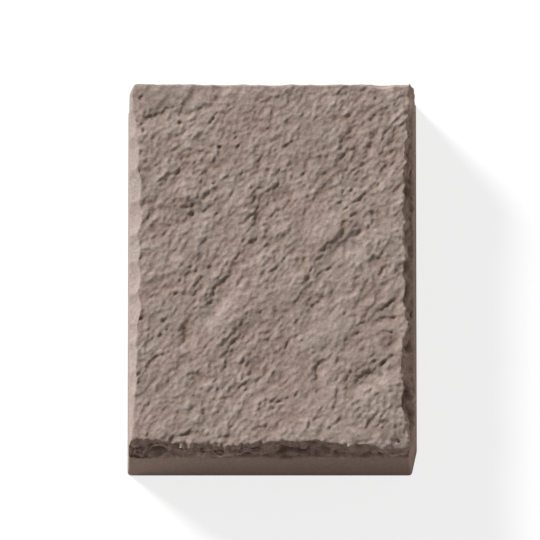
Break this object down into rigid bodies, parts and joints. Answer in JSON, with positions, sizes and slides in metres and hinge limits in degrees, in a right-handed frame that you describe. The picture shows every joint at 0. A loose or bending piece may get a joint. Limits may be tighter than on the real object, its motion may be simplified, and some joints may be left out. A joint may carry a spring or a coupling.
{
  "type": "trim stone",
  "caption": "Rectangular cast trim stone with a flat back, smooth tapered sides, a broken flaked arris and a rough dressed face.",
  "frame": {"origin": "centre of the bounding box of the stone's flat back, which lies on the floor", "axes": "+X along the stone's width, +Y along its length, +Z out of its dressed face"},
  "size_m": [0.1524, 0.2032, 0.0477],
  "materials": {
    "cast_stone": "matte"
  },
  "bodies": {
    "root": {"trim_stone": "cast_stone"}
  },
  "joints": []
}
